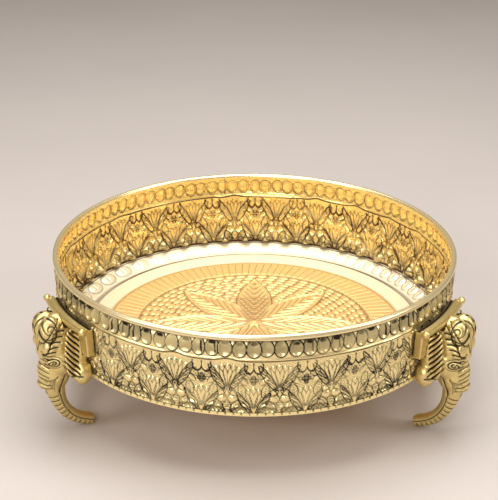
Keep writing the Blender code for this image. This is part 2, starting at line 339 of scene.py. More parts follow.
def coin_row(angle, depth, count, inner):
    """Dished coins that overlap unevenly, with outlines, a dark bar in some of them, painted shade over
    their upper parts and a deeper painted shade in the tops of some.
    """
    dice = np.random.default_rng(41)
    shift = dice.uniform(-0.75, 0.75, count)
    wide = dice.uniform(3.95, 4.6, count)
    tall = dice.uniform(5.2, 5.7, count)
    drop = dice.uniform(-0.35, 0.35, count)
    rank = dice.permutation(count)
    # Strength of a painted shade in the top of the dish, in some of the coins.
    painted_cap_shade = np.where(dice.random(count) < 0.65, dice.uniform(0.6, 1.0, count), 0.0)
    barred = np.where(dice.random(count) < 0.45, dice.uniform(0.5, 1.0, count), 0.0)
    side = dice.choice((-1.0, 1.0), count)
    pitch = math.tau / count
    cell = np.round(angle / pitch)
    work = Relief(angle * COIN_ARC_R, depth, inner)
    top_rank = np.full_like(angle, -1.0)
    rings = []
    for step in (-1, 0, 1):
        index = (cell + step).astype(int) % count
        x = (angle - (cell + step) * pitch) * COIN_ARC_R - shift[index]
        y = depth - COIN_MIDDLE - drop[index]
        ring = np.hypot(x / wide[index], y / tall[index])
        rings.append((ring, index, x, y))
        over = (ring < 1) & (rank[index] > top_rank)
        top_rank = np.where(over, rank[index], top_rank)
    for ring, index, x, y in rings:
        mine = (rank[index] >= top_rank).astype(float)
        within = mine * (ring < 1)
        work.put(within * (1 - ring**2), -1.0)
        fuller = 1 + 1.5 * ease(0.1, 0.8, y / tall[index])
        work.put(stroke((ring - 0.90) * wide[index], 0.6) * mine * fuller, 0.35)
        outline = np.abs(ring - 1.03) * wide[index] + OFF_LINE * (1 - mine)
        work.line(outline, 0.45 - 0.1 * inner, 0.3, 1.0 - 0.25 * inner)
        # Painted shade in the upper part of the dish of some coins.
        cap = np.hypot(x / (0.72 * wide[index]), (y + 0.64 * tall[index]) / (0.3 * tall[index]))
        work.put(ease(1.15, 0.6, cap) * within * painted_cap_shade[index] * (1 - inner), 0.0, 1.0)
        bar = off_line(x * side[index], y, COIN_BAR)
        work.put(ease(0.85, 0.35, bar) * within * barred[index] * (1 - inner), -0.15, 1.0)
        # Painted shade over each coin but its lower edge, as under the bead.
        shade = ease(0.60, 0.45, y / tall[index] - 0.25 * (x / wide[index]) ** 2)
        work.put(within * shade, 0.0, 0.45 * (1 - inner))
    return work


def ridge_line(angle, depth, lotuses, inner):
    """The wandering ridge under the coins, which arches over some of the lotuses."""
    dice = np.random.default_rng(12)
    pitch = math.tau / lotuses
    arch = np.where(dice.random(lotuses) < 0.5, dice.uniform(0.8, 2.0, lotuses), 0.0)
    cell = np.round(angle / pitch)
    x = (angle - cell * pitch) * RIM_R
    middle = 17.4 + 0.25 * wander(angle, 5, 9, 4) - arch[cell.astype(int) % lotuses] * stroke(x, 6.0)
    work = Relief(angle, depth, inner)
    work.put(stroke(depth - middle, 0.75) * (1 - inner), 0.75)
    work.line(depth - middle - 1.1, 0.5, 0.3, 1.0)
    work.line(depth - middle + 1.15, 0.3, 0.1, 0.35)
    return work


def lotus_cell(angle, lotuses, offset):
    """Millimetres to the side of the nearest motif, and which motif it is."""
    pitch = math.tau / lotuses
    cell = np.round(angle / pitch - offset)
    return (angle - (cell + offset) * pitch) * LOTUS_ARC_R, cell.astype(int) % lotuses


def upper_lotus(x, y, inner):
    """A lotus of the upper row: five petals between two sunk leaves, on a stem with buds."""
    work = Relief(np.abs(x), y, inner)
    work.leaf((1.4, 40.2), (12.6, 20.4), 4.4, -1.2, 1.0, 5, 1.2, 0.8, 1.0, 0.6)
    petals = (((7.6, 22.4), 4.6, 0.9), ((4.0, 20.8), 4.8, 1.05), ((0.0, 20.2), 5.2, 1.25))
    for tip, width, height in petals:
        work.leaf((0.0, 37.4), tip, width, height, 1.7, edge=0.7)
    work.leaf((0.0, 35.6), (0.0, 43.8), 4.4, 1.0, 0.7, edge=0.8)
    work.leaf((0.3, 37.0), (5.6, 43.0), 3.8, 1.0, 1.3, edge=0.8)
    work.ball((3.4, 45.4), (2.9, 2.7), 1.5)
    work.leaf((0.0, 46.8), (0.0, 54.6), 4.6, -0.5, 1.0, 5, 0.0, 0.7, 0.9)
    work.leaf((2.2, 55.0), (8.2, 46.6), 4.4, 0.9, 1.2, 5, 0.9, 0.45, 0.85)
    return work


def lower_lotus(x, y, inner):
    """A lotus of the lower row, with half coins, a quatrefoil and pods around it."""
    work = Relief(np.abs(x), y, inner)
    cup = np.hypot((work.x - 2.95) / 2.75, (y - 22.2) / 4.6)
    below = ease(18.4, 19.8, y)
    work.put(np.clip(1 - cup * cup, 0, 1) * below, -0.8)
    work.put(stroke((cup - 0.84) * 2.7, 0.6) * below, 0.6)
    work.line(np.abs(cup - 1.12) * 2.7 + OFF_LINE * (1 - below), 0.45, 0.25, 1.0)
    for tip in ((0.0, 28.6), (0.0, 36.0), (3.2, 32.4)):
        work.leaf((0.0, 32.3), tip, 2.5, -0.7, 0.8, wax_and_shade=0.6, edge=0.9)
    work.leaf((2.4, 31.0), (8.4, 24.6), 4.8, 0.4, 1.0, 5, 0.0, 0.55, 0.8)
    work.leaf((3.8, 35.4), (9.6, 30.4), 3.8, 0.9, 1.0, edge=0.8)
    work.leaf((6.4, 45.0), (8.8, 35.2), 5.0, 0.5, 1.0, 6, 1.0, 0.5, 0.85)
    work.leaf((0.9, 57.8), (11.0, 40.6), 4.2, -1.2, 1.0, 4, 1.1, 0.8, 1.0, 0.8)
    petals = (((6.8, 40.4), 4.4, 0.85), ((3.6, 38.4), 4.8, 1.0), ((0.0, 37.4), 5.2, 1.2))
    for tip, width, height in petals:
        work.leaf((0.0, 52.6), tip, width, height, 1.6, edge=0.65)
    pod = np.hypot((work.x - 8.7) / 5.8, (y - 54.2) / 2.5)
    work.put(np.sqrt(np.clip(1 - pod * pod, 0, 1)) * (1 - inner), -1.25)
    work.ball((8.4, 52.6), (4.2, 3.4), -2.3 * inner)
    work.hatch(ease(1.0, 0.7, pod), 1.9, 0.8, 0.6)
    work.hatch(ease(1.0, 0.7, pod), 1.9, -0.8, 0.6)
    work.line((pod - 1.08) * 2.5, 0.4, 0.1, 0.8)
    work.put(stroke((pod - 1.4) * 2.3, 0.7) * (y < 55.6), 0.8)
    return work


def wall_relief(angle, depth, lotuses, coins, inner):
    """Height, and darkening by wax and painted shade, of the whole pattern at places on the wall. Inner
    is 1 on the unchased side.
    """
    dice = np.random.default_rng(7)
    works = [coin_row(angle, depth, coins, inner), ridge_line(angle, depth, lotuses, inner)]
    for offset, motif in ((0.0, upper_lotus), (0.5, lower_lotus)):
        x, index = lotus_cell(angle, lotuses, offset)
        lean = dice.uniform(-0.035, 0.035, lotuses)[index]
        size = dice.uniform(0.97, 1.05, lotuses)[index]
        slip = dice.uniform(-0.5, 0.5, lotuses)[index]
        rise = dice.uniform(-0.4, 0.4, lotuses)[index]
        x = (x + lean * (depth - LOTUSES_MIDDLE) + slip) * size
        works.append(motif(x, depth + rise, inner))
    height = sum(work.height for work in works)
    wax_and_shade = np.maximum.reduce([work.wax_and_shade for work in works])
    seam = stroke((angle - SEAM_ANGLE) * RIM_R, 0.6) * ease(17.0, 16.0, depth) * inner
    height -= 0.3 * seam
    wax_and_shade = np.maximum(wax_and_shade, 0.9 * seam)
    height += 0.35 * stroke(depth - BEAD_DEPTH, 0.8)
    dots = ease(0.75, 0.95, np.cos(WALL_DOTS * angle)) * stroke(depth - WALL_DOTS_DEPTH, 0.6)
    wax_and_shade = np.maximum(wax_and_shade, dots * 0.85 * (1 - inner))
    ground = ease(0.25, -0.05, height) * ease(*LOTUSES_FROM, depth) * ease(*LOTUSES_TO, depth)
    ground = ground * (1 - inner)
    fold = np.abs(np.mod(angle * lotuses / math.tau, 1.0) - 0.5)
    lines = np.cos(math.tau * (depth + 0.8 * RIM_R * fold) / GROUND_PITCH)
    wax_and_shade = np.maximum(wax_and_shade, ease(-0.2, 0.9, lines) * ground * 0.5)
    dents = 0.08 * np.sin(depth * 0.9 + 3 * wander(angle, 9, 20, 10))
    height += 0.10 * wander(angle, 3, 24, 20) + dents
    patches = 0.5 + 0.5 * wander(angle + 0.02 * depth, 17, 14, 5)
    return height, wax_and_shade * (0.68 + 0.5 * np.clip(patches, 0, 1))


# ---- meshes --------------------------------------------------------------------------------------
def link(obj):
    bpy.context.scene.collection.objects.link(obj)
    return obj


def grid_mesh(name, across, down):
    """A flat grid and the place of each of its corners, both from 0 to 1."""
    bm = bmesh.new()
    bmesh.ops.create_grid(bm, x_segments=across, y_segments=down, size=0.5)
    mesh = bpy.data.meshes.new(name)
    bm.to_mesh(mesh)
    bm.free()
    places = np.empty(len(mesh.vertices) * 3, np.float32)
    mesh.vertices.foreach_get("co", places)
    places = places.reshape(-1, 3).astype(float) + 0.5
    u = np.round(places[:, 0] * across) / across
    v = np.round(places[:, 1] * down) / down
    return mesh, u, v


def set_points(mesh, points):
    mesh.vertices.foreach_set("co", np.ascontiguousarray(points, np.float32).ravel())
    mesh.update()


def get_points(mesh):
    points = np.empty(len(mesh.vertices) * 3, np.float32)
    mesh.vertices.foreach_get("co", points)
    return points.reshape(-1, 3).astype(float)


def set_value(mesh, name, values):
    layer = mesh.attributes.get(name) or mesh.attributes.new(name, "FLOAT", "POINT")
    layer.data.foreach_set("value", np.ascontiguousarray(values, np.float32))


def close_mesh(mesh):
    """Joins the seams, turns the faces outwards and shades them smooth but for sharp corners."""
    bm = bmesh.new()
    bm.from_mesh(mesh)
    bmesh.ops.remove_doubles(bm, verts=bm.verts[:], dist=0.000002)
    bmesh.ops.recalc_face_normals(bm, faces=bm.faces[:])
    bm.to_mesh(mesh)
    bm.free()
    mesh.polygons.foreach_set("use_smooth", np.ones(len(mesh.polygons), bool))
    mesh.set_sharp_from_angle(angle=math.radians(65))


def piece(mesh, material, slot, *nodes):
    """An object of the bowl that stands for some of the model's nodes."""
    mesh.materials.clear()
    mesh.materials.append(material)
    obj = link(bpy.data.objects.new(mesh.name, mesh))
    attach(obj, BODY)
    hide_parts(*nodes)
    return obj


def around_axis(angle, radius, height):
    """Points in metres from an angle, and a radius and a height in millimetres."""
    return np.stack([radius * np.cos(angle) * MM, radius * np.sin(angle) * MM, height * MM], axis=1)


def ring_profile(corners, counts):
    """Radius, height and side number of each row round a closed outline."""
    rows = []
    loop = corners + corners[:1]
    for side, count in enumerate(counts):
        for step in range(count):
            share = step / count
            place = np.array(loop[side]) * (1 - share) + np.array(loop[side + 1]) * share
            rows.append((*place, side))
    rows.append((*loop[0], 0))
    return np.array(rows, float)


def ring_piece(name, corners, counts, columns, work):
    """A closed ring: a grid bent round the bowl and round its own outline.

    Work gives each point's radius and height, its darkening by wax and by painted shade, and how far it
    has the second colour.
    """
    profile = ring_profile(corners, counts)
    mesh, u, v = grid_mesh(name, columns, len(profile) - 1)
    row = np.round(v * (len(profile) - 1)).astype(int)
    angle = (u % 1.0) * math.tau
    radius, height, wax_and_shade, inside = work(angle, *profile[row].T)
    set_points(mesh, around_axis(angle, radius, height))
    set_value(mesh, "wax_and_shade", np.clip(wax_and_shade, 0, 1))
    set_value(mesh, "inside", inside)
    close_mesh(mesh)
    return mesh


# ---- materials -----------------------------------------------------------------------------------
class Value:
    """A number in a material. Python's operators on it add Math nodes."""

    def __init__(self, graph, socket):
        self.graph = graph
        self.socket = socket

    def maths(self, operation, first, second):
        node = self.graph.node("ShaderNodeMath", {"operation": operation}, {0: first, 1: second})
        return Value(self.graph, node.outputs[0])

    def __add__(self, other):
        return self.maths("ADD", self, other)

    def __sub__(self, other):
        return self.maths("SUBTRACT", self, other)

    def __rsub__(self, other):
        return self.maths("SUBTRACT", other, self)

    def __mul__(self, other):
        return self.maths("MULTIPLY", self, other)

    def at_most(self, other):
        return self.maths("MINIMUM", self, other)

    def at_least(self, other):
        return self.maths("MAXIMUM", self, other)

    __radd__ = __add__
    __rmul__ = __mul__


class Graph:
    """The nodes of one material."""

    def __init__(self, name):
        self.material = bpy.data.materials.new(name)
        self.material.use_nodes = True
        self.tree = self.material.node_tree
        self.shader = self.tree.nodes["Principled BSDF"]
        self.shader.inputs["Specular IOR Level"].default_value = 0.2

    def node(self, kind, settings, sockets):
        made = self.tree.nodes.new(kind)
        for key, value in settings.items():
            setattr(made, key, value)
        for key, value in sockets.items():
            self.feed(made.inputs[key], value)
        return made

    def feed(self, socket, value):
        if isinstance(value, Value):
            value = value.socket
        if isinstance(value, bpy.types.NodeSocket):
            self.tree.links.new(value, socket)
        else:
            socket.default_value = value

    def attribute(self, name):
        node = self.node("ShaderNodeAttribute", {"attribute_name": name}, {})
        return Value(self, node.outputs["Fac"])

    def noise(self, scale, detail, roughness):
        place = self.node("ShaderNodeTexCoord", {}, {}).outputs["Object"]
        sockets = {"Vector": place, "Scale": scale, "Detail": detail, "Roughness": roughness}
        return Value(self, self.node("ShaderNodeTexNoise", {}, sockets).outputs[0])

    def between(self, share, first, second):
        """A colour between two others."""
        settings = {"data_type": "RGBA", "clamp_factor": True}
        return self.node("ShaderNodeMix", settings, {0: share, 6: first, 7: second}).outputs[2]


def brass(name, colour, second, wax_and_shade, roughness, tarnish, grain, metal):
    """Brass with a second colour by attribute, dark wax and painted shade by attribute, tarnish and a
    fine worked grain.
    """
    graph = Graph(name)
    groove = graph.attribute("wax_and_shade")
    inside = graph.attribute("inside")
    cloud = graph.noise(34.0, 4.0, 0.6)
    speck = graph.noise(420.0, 3.0, 0.6)
    plain = graph.between(inside, (*colour, 1.0), (*second, 1.0))
    dull = (*(0.5 * (bright + brown) for bright, brown in zip(colour, TARNISH)), 1.0)
    aged = graph.between((cloud - 0.45).at_least(0.0) * (tarnish * 2.4), plain, dull)
    # The colour of the wax and of the painted shade, browner on the inner side.
    wax_and_painted_shade = graph.between(inside, (*wax_and_shade, 1.0), (*INNER_WAX_AND_SHADE, 1.0))
    depth = ((groove - 0.15) * (1.3 + 0.9 * speck)).at_least(0.0).at_most(1.0)
    graph.feed(graph.shader.inputs["Base Color"], graph.between(depth, aged, wax_and_painted_shade))
    graph.feed(graph.shader.inputs["Metallic"], (metal - 0.25 * inside) * (1.0 - 0.75 * depth))
    rough = roughness + 0.10 * (cloud - 0.5) + 0.35 * depth - 0.10 * inside
    graph.feed(graph.shader.inputs["Roughness"], rough.at_least(0.06))
    bump = graph.node(
        "ShaderNodeBump", {}, {"Strength": grain, "Distance": 0.0006, "Height": speck + 0.6 * cloud})
    graph.feed(graph.shader.inputs["Normal"], bump.outputs[0])
    return graph.material


# ---- rim and wall --------------------------------------------------------------------------------
def rim_mesh():
    """The sheet rolled over its wire: a bead with a closing line along its outer side."""
    columns = 480
    steps = 28
    middle = (RIM_R - CURL_R, RIM_TOP - CURL_R)
    corners = []
    for step in range(steps):
        turn = math.tau * step / steps
        corners.append((middle[0] + CURL_R * math.cos(turn), middle[1] - CURL_R * math.sin(turn)))

    def work(angle, radius, height, side):
        turn = side / steps * math.tau
        crease = stroke((turn + 0.10 - math.tau * (turn > math.pi)) * CURL_R, 0.26)
        # Painted shadow on the underside of the curl, where it tucks into the neck.
        shadow_under_bead = stroke((turn - 1.9) * CURL_R, 0.9)
        hand = 0.10 * wander(angle, 21, 12, 3)
        out = -0.22 * crease + 0.06 * wander(angle, 22, 20, 14)
        # The closing line is a real crease, but it is darkened only on the front half: a painted dark
        # reflection.
        front = ease(0.1, -0.5, np.sin(angle))
        radius = radius + out * np.cos(turn)
        height = height - out * np.sin(turn) + hand - 0.12
        wax_and_painted_shade = np.maximum(0.85 * crease * front, 0.8 * shadow_under_bead)
        return radius, height, wax_and_painted_shade, 0.15 * (radius < middle[0])

    return ring_piece("rolled_rim", corners, [1] * steps, columns, work)


def pan_seat_radius():
    """Radius of the pan's seat, inside the wall's foot."""
    return float(wall_radius(np.array(WALL_FOOT))) - SHEET - GAP


def behind_saddles(angle, depth):
    """1 where the wall is pressed in a little to take a leg and its saddle, and 0 elsewhere."""
    half = math.radians(SADDLE_ARC / 2)
    most = np.zeros_like(angle)
    for degrees in LEG_ANGLES.values():
        away = np.abs(np.mod(angle - math.radians(degrees) + math.pi, math.tau) - math.pi)
        most = np.maximum(most, ease(half + 0.03, half + 0.008, away))
    below_top = ease(SADDLE_TOP - 3.0, SADDLE_TOP - 0.8, depth)
    return most * below_top * ease(WALL_FOOT - 0.5, WALL_FOOT - 3.5, depth)


def wall_mesh(name, top, foot, rows_out, rows_in, settings):
    """One band of the wall, worked on both sides, between two depths."""
    corners = [(0, top), (0, foot), (1, foot), (1, top)]

    def work(angle, inner, depth, side):
        plain = wall_radius(depth)
        collar = ease(NECK_DEPTH + 1.0, NECK_DEPTH - 0.6, depth)
        fade = settings.depth * (1 - 0.8 * stroke(depth - WALL_FOOT, 1.4)) * (1 - collar)
        raised, wax_and_painted_shade = wall_relief(angle, depth, settings.lotuses, settings.coins, 0)
        pressed, inner_wax_and_shade = wall_relief(angle, depth, settings.lotuses, settings.coins, 1)
        outer = plain + raised * fade - PRESSED_IN * behind_saddles(angle, depth)
        inside = outer - raised * fade - SHEET + 1.8 * pressed * fade
        inside = np.minimum(inside, outer - 0.5 * SHEET)
        # Painted shade in the sunk parts of the outer relief.
        wax_and_painted_shade = np.maximum(wax_and_painted_shade, 0.3 * ease(-0.5, -1.4, raised))
        # Painted shadow in the neck under the rolled bead.
        wax_and_painted_shade = np.maximum(wax_and_painted_shade, 0.85 * ease(NECK_DEPTH + 1.8, NECK_DEPTH - 0.3, depth))
        # Painted shade in the hollows of the inner side.
        inner_wax_and_shade = np.maximum(inner_wax_and_shade, 0.3 * ease(0.8, 2.0, pressed))
        inner_wax_and_shade = np.maximum(inner_wax_and_shade, 0.9 * stroke(depth - 56.0, 1.2))
        # The inner colour, itself partly painted bounce light, gives way to the paler outer brass in the
        # lower third: a painted reflection of the bright ledge.
        painted_inner_light = inner * (1 - 0.6 * ease(38.0, 52.0, depth))
        radius = outer + (inside - outer) * inner
        return radius, RIM_TOP - depth, wax_and_painted_shade + (0.9 * inner_wax_and_shade - wax_and_painted_shade) * inner, painted_inner_light

    return ring_piece(name, corners, [rows_out, 1, rows_in, 1], settings.columns, work)


# ---- floor ---------------------------------------------------------------------------------------
def star_relief(x, y, settings):
    """The engraved medallion: a star of leaves on a bed of pebbles, inside a ring of flutes."""
    radius = np.hypot(x, y)
    angle = np.arctan2(y, x)
    step = math.tau / settings.leaves
    turn = angle - math.pi / 2
    near = turn - np.round(turn / step) * step
    along = radius * np.cos(near)
    across = np.abs(radius * np.sin(near))
    work = Relief(along, across)
    share = np.clip(along / STAR_TIP_R, 0.001, 0.999)
    half = STAR_HALF * np.sin(np.pi * share**0.95) ** 0.85 + 0.05
    blade = ease(1.05, 0.93, across / half) * (along > 0) * (along < STAR_TIP_R)
    dome = np.clip(1 - across / half, 0, 1)
    work.put(blade, 0.45)
    work.put(blade * np.sin(math.pi * dome), -0.5)
    work.put(stroke(across - half + 1.1, 1.1) * (along > 2) * (along < STAR_TIP_R), 1.0)
    past_end = (along < 1) | (along > STAR_TIP_R + 1)
    work.line(across - half - 0.4 + OFF_LINE * past_end, 0.65, 0.4, 0.7)
    work.put(stroke(across, 1.0) * blade, 0.7)
    veins = np.cos(math.tau * (along - across * 2.2) / 8.5)
    inner_leaf = blade * ease(half - 1.4, half - 3.2, across)
    work.put(ease(-0.3, 0.9, veins) * inner_leaf * ease(0.6, 2.0, across) * ease(2, 14, along), 0.7)
    work.put(ease(-0.1, -0.8, veins) * inner_leaf, 0.0, 0.55)
    bed = (1 - blade) * ease(BED_R, BED_R - 2.0, radius)
    stones = pebbles(radius, angle)
    work.put(stones * bed, 0.85)
    work.put(bed * ease(0.35, 0.0, stones), 0.0, 0.55)
    flute_band = ease(FLUTES_FROM, 86.0, radius) * ease(FLUTES_TO, 103.0, radius)
    slope = settings.flutes * (angle + 0.0012 * (radius - BED_R)) + 1.3 * wander(angle, 31, 9, 2)
    flute = np.abs(np.sin(slope / 2))
    work.put(flute_band * flute**0.7, 0.45)
    work.put(flute_band * ease(0.36, 0.04, flute), -0.1, 0.65)
    work.line(radius - 83.4 - 0.3 * np.cos(slope), 0.6, 0.3, 0.75)
    work.line(radius - 104.9, 0.6, 0.15, 0.65)
    heart = ease(1.1, 0.7, np.abs(x) / (0.42 * np.abs(y) + 2.0))
    heart = heart * ease(1.0, 6.0, y) * ease(50.0, 40.0, y)
    work.put(heart * (0.6 + 0.4 * np.cos(radius * 1.9) * np.cos(x * 1.3)), -0.2, 0.62)
    height = work.height + 0.12 * wander(angle, 33, 8, 2) * ease(0, 40, radius)
    return height, work.wax_and_shade


def pebbles(radius, angle):
    """Rows of flat pebbles round the floor, each row set between those of the last."""
    best = np.zeros_like(radius)
    dice = np.random.default_rng(23)
    pitch = 4.3
    for row, middle in enumerate(np.arange(24.0, BED_R, pitch)):
        count = max(6, int(round(math.tau * middle / 8.2)))
        slip = dice.uniform(-0.25, 0.25, count)
        tall = dice.uniform(1.8, 2.4, count)
        cell = angle / math.tau * count + 0.5 * (row % 2)
        index = np.round(cell).astype(int) % count
        x = (cell - np.round(cell) - 0.15 * slip[index]) * math.tau * middle / count
        ring = np.hypot(x / 3.8, (radius - middle - 1.6 * slip[index]) / tall[index])
        best = np.maximum(best, np.sqrt(np.clip(1 - ring * ring, 0, 1)))
    return best


def disc_mesh(settings):
    """The floor's medallion: a grid rounded into a disc, worked on top and closed with a plain back."""
    mesh, u, v = grid_mesh("floor_medallion", settings.disc, settings.disc)
    x, y = 2 * u - 1, 2 * v - 1
    disc_x = x * np.sqrt(1 - y * y / 2) * MEDALLION_R
    disc_y = y * np.sqrt(1 - x * x / 2) * MEDALLION_R
    height, wax_and_shade = star_relief(disc_x, disc_y, settings)
    set_points(mesh, np.stack([disc_x, disc_y, height], axis=1) * MM)
    set_value(mesh, "wax_and_shade", np.clip(wax_and_shade, 0, 1))
    set_value(mesh, "inside", np.ones_like(wax_and_shade))
    bm = bmesh.new()
    bm.from_mesh(mesh)
    border = [edge for edge in bm.edges if edge.is_boundary]
    skirt = bmesh.ops.extrude_edge_only(bm, edges=border)["geom"]
    low = [item for item in skirt if isinstance(item, bmesh.types.BMVert)]
    for vert in low:
        vert.co.z = -SHEET * MM
    rim = [edge for edge in bm.edges if edge.is_boundary]
    bmesh.ops.holes_fill(bm, edges=rim, sides=0)
    bm.to_mesh(mesh)
    bm.free()
    close_mesh(mesh)
    return mesh


def ledge_mesh():
    """The ring round the medallion, the groove, the sloping ledge with its bumps, and the lip."""
    seat_r = pan_seat_radius()
    seat_z = RIM_TOP - WALL_FOOT - GAP
    lip_r = seat_r + SHEET + 2 * GAP
    corners = [
        (MEDALLION_R, 0.0), (MEDALLION_R + 1.0, 0.3 * RING_RISE), (RING_R - 0.8, RING_RISE + 1.7),
        (GROOVE_R, -GROOVE_DROP),
        (GROOVE_R + (seat_r - GROOVE_R) * 0.5, -GROOVE_DROP + (seat_z + GROOVE_DROP) * 0.42),
        (seat_r, seat_z), (lip_r, seat_z), (lip_r, PAN_LIP_TOP), (lip_r + SHEET, PAN_LIP_TOP),
        (lip_r + SHEET, seat_z - SHEET), (seat_r, seat_z - SHEET), (GROOVE_R, -GROOVE_DROP - SHEET),
        (MEDALLION_R, -SHEET),
    ]
    counts = [3, 6, 5, 12, 14, 2, 2, 1, 2, 2, 6, 5, 1]

    def work(angle, radius, height, side):
        top = side <= 4
        # The bumps, their outlines and slots fade towards the back of the bowl, which paints the
        # highlight that washes them out there.
        sides = ease(0.94, 0.55, np.sin(angle)) * 0.85 + 0.15
        pitch = math.tau / LEDGE_BUMPS
        x = (angle - np.round(angle / pitch) * pitch) * BUMP_ARC_R
        across = radius - BUMP_R
        wide_side = ease(0.2, -0.4, np.cos(angle))
        grown = 1 + 0.7 * wide_side
        x_wide = (angle - (2 * np.round(angle / pitch / 2)) * pitch) * BUMP_ARC_R
        x = np.where(wide_side > 0.5, x_wide, x)
        ring = np.hypot(x / (BUMP_HALF[0] * grown), across / BUMP_HALF[1])
        bump = np.sqrt(np.clip(1 - ring * ring, 0, 1)) * sides * top
        slot = stroke(x - 0.6, 0.6) * ease(2.6, 1.6, np.abs(across)) * sides * top
        # Painted shade on the outer slope of the groove, stronger at the back.
        back = ease(0.4, 0.9, np.sin(angle))
        bank_shade = ease(125.0, 122.0, radius) * (radius > RING_R) * (0.6 + 0.4 * back)
        groove = np.maximum(0.7 * stroke(radius - RING_R + 0.3, 0.6), bank_shade) * top
        crease = stroke(radius - MEDALLION_R - 0.1, 0.6) * top
        hand = 0.05 * wander(angle, 51, 16, 5)
        lift = 1.3 * bump - 0.45 * slot + hand
        wax_and_painted_shade = np.maximum(0.6 * slot, 0.9 * groove)
        wax_and_painted_shade = np.maximum(wax_and_painted_shade, 0.5 * crease)
        wax_and_painted_shade = np.maximum(wax_and_painted_shade, 0.55 * stroke((ring - 1.03) * BUMP_HALF[1], 0.6) * sides * top)
        wax_and_painted_shade = np.maximum(wax_and_painted_shade, 0.9 * stroke(radius - seat_r + 0.3, 0.7) * top)
        wax_and_painted_shade = np.maximum(wax_and_painted_shade, 0.9 * (side == 7))
        wax_and_painted_shade = np.maximum(wax_and_painted_shade, 0.6 * ease(0.5, 0.95, np.cos(LIP_DOTS * angle)) * (side == 8))
        under = (side >= 9).astype(float)
        return radius, height + lift * (1 - under), wax_and_painted_shade, (side <= 5).astype(float)

    return ring_piece("floor_ledge", corners, counts, 1280, work)


# ---- castings ------------------------------------------------------------------------------------
def at(out, side, depth):
    """A point of a leg in metres, from millimetres out from the rim, to the side and below its top."""
    return Vector(((RIM_R + out) * MM, side * MM, (RIM_TOP - depth) * MM))


def add_ball(bm, middle, radii, turn=0.0):
    """A ball squashed to radii in millimetres and turned about Z."""
    matrix = Matrix.Translation(at(*middle)) @ Matrix.Rotation(turn, 4, "Z")
    matrix = matrix @ Matrix.Diagonal((*[r * MM for r in radii], 1.0))
    bmesh.ops.create_uvsphere(bm, u_segments=40, v_segments=24, radius=1.0, matrix=matrix)


def add_tube(bm, path):
    """A closed tube through places, each a point in metres and two half widths in millimetres."""
    sides = 28
    rings = []
    for index, (place, across, through) in enumerate(path):
        before = path[max(index - 1, 0)][0]
        after = path[min(index + 1, len(path) - 1)][0]
        ahead = (after - before).normalized()
        side = Vector((0, 1, 0))
        up = ahead.cross(side).normalized()
        turn = Matrix((side * across, up * through, ahead)).transposed().to_4x4()
        matrix = Matrix.Translation(place) @ turn
        verts = bmesh.ops.create_circle(bm, segments=sides, radius=MM, matrix=matrix)["verts"]
        rings.append([e for e in {e for v in verts for e in v.link_edges} if e.is_wire])
    for lower, upper in zip(rings[:-1], rings[1:]):
        bmesh.ops.bridge_loops(bm, edges=lower + upper)
    for ring in (rings[0], rings[-1]):
        bmesh.ops.edgeloop_fill(bm, edges=ring)


def trunk_path():
    """Places down the middle of the trunk with its half widths, from inside the head to the foot."""
    tip_depth = RIM_TOP - GROUND - 3.1
    stops = (
        (13.5, 55.0, 8.6, 8.6), (14.6, 64.0, 8.3, 8.2), (13.6, 71.0, 7.3, 7.2), (12.4, 77.0, 6.3, 6.0),
        (10.6, 83.0, 5.6, 5.2), (7.6, 89.0, 5.2, 4.8), (3.2, 94.6, 5.0, 4.6), (-2.6, 99.0, 4.9, 4.5),
        (-8.6, 101.6, 4.9, 4.4), (-12.0, tip_depth, 4.8, 4.2),
    )
    knots = np.array(stops, float)
    shares = np.linspace(0, len(knots) - 1, TRUNK_RINGS)
    smooth = np.stack([cubic(knots[:, k], shares) for k in range(4)], axis=1)
    return [(at(out, 0.0, depth), across, through) for out, depth, across, through in smooth]


def cubic(values, places):
    """Values at places between knots, along smooth curves through the knots."""
    low = np.clip(np.floor(places).astype(int), 0, len(values) - 2)
    t = places - low
    before = values[np.maximum(low - 1, 0)]
    start, end = values[low], values[low + 1]
    after = values[np.minimum(low + 2, len(values) - 1)]
    rise = (end - before) / 2
    fall = (after - start) / 2
    return (
        (2 * t**3 - 3 * t**2 + 1) * start + (t**3 - 2 * t**2 + t) * rise
        + (-2 * t**3 + 3 * t**2) * end + (t**3 - t**2) * fall
    )


def one_skin(bm, name, voxel, passes):
    """The outside of overlapping shapes as one even skin, smoothed."""
    mesh = bpy.data.meshes.new(name)
    bm.to_mesh(mesh)
    bm.free()
    obj = link(bpy.data.objects.new(name, mesh))
    remesh = obj.modifiers.new("skin", "REMESH")
    remesh.mode = "VOXEL"
    remesh.voxel_size = voxel
    depsgraph = bpy.context.evaluated_depsgraph_get()
    skin = bpy.data.meshes.new_from_object(obj.evaluated_get(depsgraph))
    bpy.data.objects.remove(obj)
    bm = bmesh.new()
    bm.from_mesh(skin)
    for _ in range(passes):
        bmesh.ops.smooth_vert(
            bm, verts=bm.verts[:], factor=0.5, use_axis_x=True, use_axis_y=True, use_axis_z=True)
    bm.to_mesh(skin)
    bm.free()
    skin.name = name
    return skin


